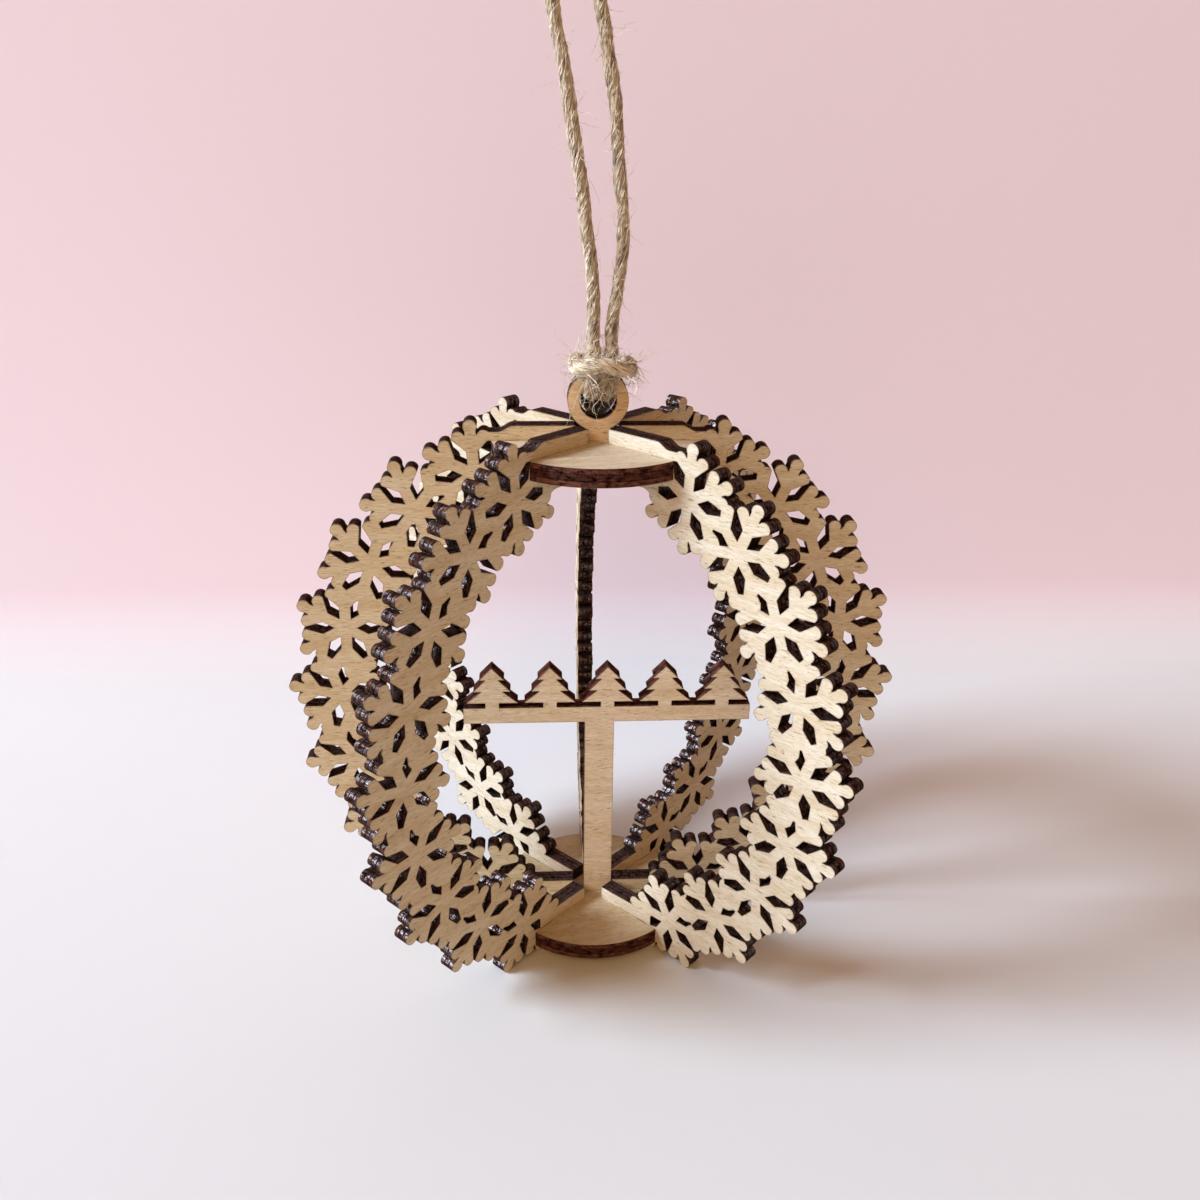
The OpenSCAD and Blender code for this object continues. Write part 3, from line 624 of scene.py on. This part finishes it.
def tangle(name, reach, count, seed):
    """Random arcs round the ring's centre, squeezed into its hole: r' = reach tanh(r / reach)."""
    draw = np.random.default_rng(seed)
    t = np.linspace(-1, 1, 9)[None, :, None]
    middle = draw.normal(0, 2.0, (count, 1, 3)) * [1, 0.4, 1] + [0, 0.9, -0.4]
    lean = draw.normal(0, 1.1, (count, 1, 3)) * [1, 0.3, 1]
    bend = draw.normal(0, 0.8, (count, 1, 3)) * [1, 0.3, 1]
    arcs = middle + t * lean + t**2 * bend
    r = np.hypot(arcs[..., 0], arcs[..., 2])[..., None]
    squeezed = arcs * reach * np.tanh(r / reach) / r
    squeezed[..., 1] = np.clip(arcs[..., 1], -0.9, 2.8)
    return fibre_tubes(name, squeezed + ring_centre_mm, tangle_mm, jute_shaded)


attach(tangle("hitch_tangle", reach=2.84, count=620, seed=51), "hitch")


# The loop is closed by an overhand knot above the hook, tied in both ends of the twine together.
# The two cut ends stand up from it, a little apart.
knot_foot_mm = np.array([-4.65, 0, 67.6])
knot_h_mm = 6.0
tail_mm = 9.0
tail_lean_deg = 14.0


def knot_strand(side):
    """One end of the twine: up the middle, one and a half turns down round it, and out at the top."""
    wrap = np.linspace(0, 3 * np.pi, 15)
    wrap_r = 1.55
    wrap_z = np.linspace(4.4, 1.6, 15) + side * 0.45
    turns = np.stack([wrap_r * np.sin(wrap), -wrap_r * np.cos(wrap), wrap_z], axis=1)
    lean = math.radians(tail_lean_deg) * side
    top = np.array([side * twine_mm / 2, 0, knot_h_mm])
    leaning = np.array([math.sin(lean), 0, math.cos(lean)])
    tail = top + np.linspace(0.15, 1, 5)[:, None] * tail_mm * leaning
    foot = np.array([[side * 1.05, 0, 0], [side * 0.95, 0.2, 1.2], [side * 0.6, -0.3, 3.0]])
    out = np.array([[0.2 * side, 0.6, 1.2], [0.5 * side, 0.5, 3.2], [0.8 * side, 0.1, 5.4]])
    return np.concatenate([foot, turns, out, tail])


knots = []
for name, side in (("knot_left_end", -1), ("knot_right_end", 1)):
    line = smooth_route(knot_strand(side) + knot_foot_mm + ring_centre_mm, 8)
    end = twisted_twine(name, line, twine_mm, seed=60 + side)
    end.data.materials.append(jute_twine)
    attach(end, "twine")
    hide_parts("end_knot")
    knots.append(end)
knot_hairs = stray_hairs("knot_hairs", line, twine_mm, count=60, longest=4.0, seed=71,
                         fibre_mm=hair_mm, material=jute_hair)
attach(knot_hairs, "twine")

for name, pieces_on_it in (("strand_left", [knots[0]]), ("strand_right", [knots[1], knot_hairs])):
    strand, loose, line = strands[name]


# The table is a plain pale sheet, which curves up softly into a pale wall behind the ornament.
# The lowest lobes of the fins just touch it.
floor_z = min(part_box(fin)[0].z for fin in fin_turns_deg)
front_y = -1.4
wall_y = 0.1115
wall_h = 0.9
half_w = 0.6
cove_r = 0.02
table_pale = (0.662, 0.65, 0.62, 1)
wall_pale = (0.95, 0.825, 0.9, 1)


def backdrop(name, low, high):
    """A sheet swept along x: flat to the front, a quarter circle of the cove's radius, then upright.
    Its colour passes from the table's to the wall's in the cove, and it is clear from behind."""
    a = np.linspace(0, np.pi / 2, 17)
    y = np.concatenate([[front_y], wall_y - cove_r + cove_r * np.sin(a), [wall_y]])
    z = np.concatenate([[0.0], cove_r - cove_r * np.cos(a), [wall_h]]) + floor_z
    x = np.array([-half_w, half_w])
    points = np.stack([np.tile(x, len(y)), np.repeat(y, 2), np.repeat(z, 2)], axis=1)
    i = 2 * np.arange(len(y) - 1)[:, None]
    mesh = bpy.data.meshes.new(name)
    mesh.from_pydata(points.tolist(), [], (i + [0, 1, 3, 2]).tolist())
    mesh.polygons.foreach_set("use_smooth", np.ones(len(mesh.polygons), bool))
    material = bpy.data.materials.new(name)
    material.use_nodes = True
    tree = material.node_tree
    place = add_node(tree, "ShaderNodeTexCoord", {}).outputs["Object"]
    height = add_node(tree, "ShaderNodeSeparateXYZ", {0: place}).outputs["Z"]
    share = add_node(tree, "ShaderNodeMapRange", {
        "Value": height, "From Min": floor_z, "From Max": floor_z + 0.95 * cove_r}).outputs[0]
    colour = add_node(tree, "ShaderNodeValToRGB", {"Fac": share})
    colour.color_ramp.elements[0].color = low
    colour.color_ramp.elements[1].color = high
    paper = tree.nodes["Principled BSDF"]
    tree.links.new(colour.outputs["Color"], paper.inputs["Base Color"])
    paper.inputs["Roughness"].default_value = 0.6
    paper.inputs["Specular IOR Level"].default_value = 0.05
    behind = add_node(tree, "ShaderNodeNewGeometry", {}).outputs["Backfacing"]
    clear = add_node(tree, "ShaderNodeBsdfTransparent", {}).outputs[0]
    one_sided = add_node(tree, "ShaderNodeMixShader", {0: behind, 1: paper.outputs[0], 2: clear})
    tree.links.new(one_sided.outputs[0], tree.nodes["Material Output"].inputs["Surface"])
    mesh.materials.append(material)
    sheet = bpy.data.objects.new(name, mesh)
    bpy.context.scene.collection.objects.link(sheet)


backdrop("backdrop", table_pale, wall_pale)


# Daylight comes from a window at the left, and a broad warm light in front fills the shadows.
# The room adds a little from everywhere, and shows as a pale surround past the edges of the sheet.
room_glow = (1.0, 0.53, 0.25, 1)
room_strength = 0.17
surround_pale = (0.8, 0.74, 0.74, 1)


def lamp(name, place, size, power, colour):
    """A square area lamp that faces the middle of the ball."""
    light = bpy.data.objects.new(name, bpy.data.lights.new(name, "AREA"))
    light.data.size = size
    light.data.energy = power
    light.data.color = colour
    light.location = place
    light.visible_camera = False
    middle = Vector((axis_x, 0, (floor_z + ring_low.z) / 2))
    light.rotation_euler = (middle - Vector(place)).to_track_quat("-Z", "Y").to_euler()
    bpy.context.scene.collection.objects.link(light)


lamp("window", place=(-2.523, -0.31, 1.36), size=1.1, power=134.0, colour=(0.86, 1.05, 1.31))
lamp("room", place=(-0.51, -2.4, 1.61), size=2.2, power=31.0, colour=(1.0, 0.6, 0.27))

world = bpy.data.worlds.new("room")
bpy.context.scene.world = world
world.use_nodes = True
room = world.node_tree
air = room.nodes["Background"]
air.inputs["Color"].default_value = room_glow
air.inputs["Strength"].default_value = room_strength
ray = add_node(room, "ShaderNodeLightPath", {}).outputs
seen = ray["Is Camera Ray"]
for also_seen in ("Is Glossy Ray", "Is Transmission Ray"):
    either = add_node(room, "ShaderNodeMath", {0: seen, 1: ray[also_seen]}, operation="MAXIMUM")
    seen = either.outputs[0]
beyond = add_node(room, "ShaderNodeBackground", {"Color": surround_pale, "Strength": 1.0})
surround = add_node(room, "ShaderNodeMixShader", {
    0: seen, 1: air.outputs[0], 2: beyond.outputs[0]})
room.links.new(surround.outputs[0], room.nodes["World Output"].inputs["Surface"])
bpy.context.scene.view_settings.view_transform = "Standard"
